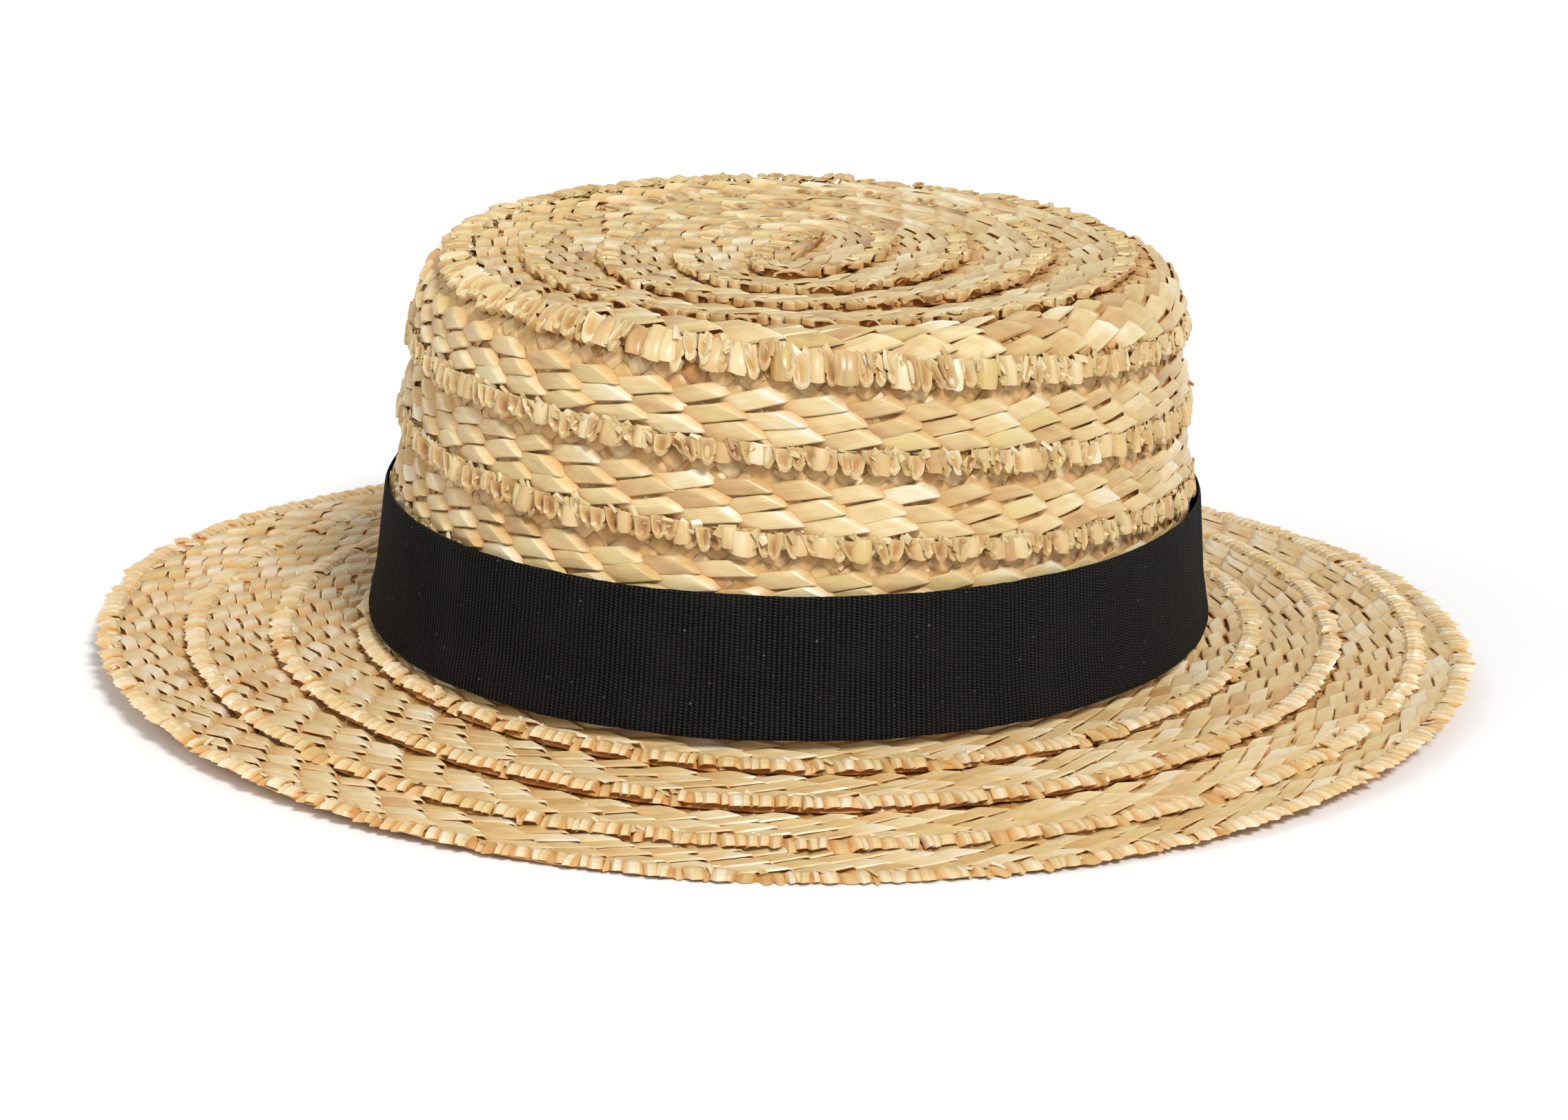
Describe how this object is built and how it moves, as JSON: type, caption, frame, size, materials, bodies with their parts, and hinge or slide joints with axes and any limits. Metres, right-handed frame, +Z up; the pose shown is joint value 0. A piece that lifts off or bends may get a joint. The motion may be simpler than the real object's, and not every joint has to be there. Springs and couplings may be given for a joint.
{
  "type": "straw sun hat",
  "caption": "Oval straw boater sun hat: lapped plaited straw sewn in a spiral, flat crown, wide level brim, plain ribbed ribbon round the crown and one inside it.",
  "frame": {"origin": "centre of the hat's box on the surface that the rim of the brim rests on", "axes": "+Z up through the crown, -Y to the front of the hat, +X to the wearer's left"},
  "size_m": [0.2897, 0.3181, 0.0857],
  "materials": {
    "straw": "natural wheat straw plait, satin",
    "thread": "straw-coloured sewing thread, matte",
    "hatband": "black grosgrain ribbon, matte with ribs",
    "black_thread": "black sewing thread, matte",
    "sweatband": "black petersham ribbon, matte",
    "label": "blank woven tape, matte"
  },
  "bodies": {
    "root": {"tip_button": "straw", "tip_turn_1": "straw", "tip_turn_2": "straw", "tip_turn_3": "straw", "crown_turn_1": "straw", "crown_turn_2": "straw", "crown_turn_3": "straw", "crown_turn_4": "straw", "crown_turn_5": "straw", "brim_turn_1": "straw", "brim_turn_2": "straw", "brim_turn_3": "straw", "brim_turn_4": "straw", "tip_seam_thread": "thread", "crown_seam_thread": "thread", "brim_seam_thread": "thread", "sweatband_stitches": "thread", "hatband": "hatband", "hatband_lap": "hatband", "hatband_tacks": "black_thread", "sweatband": "sweatband", "sweatband_lap": "sweatband", "size_label": "label"}
  },
  "joints": []
}
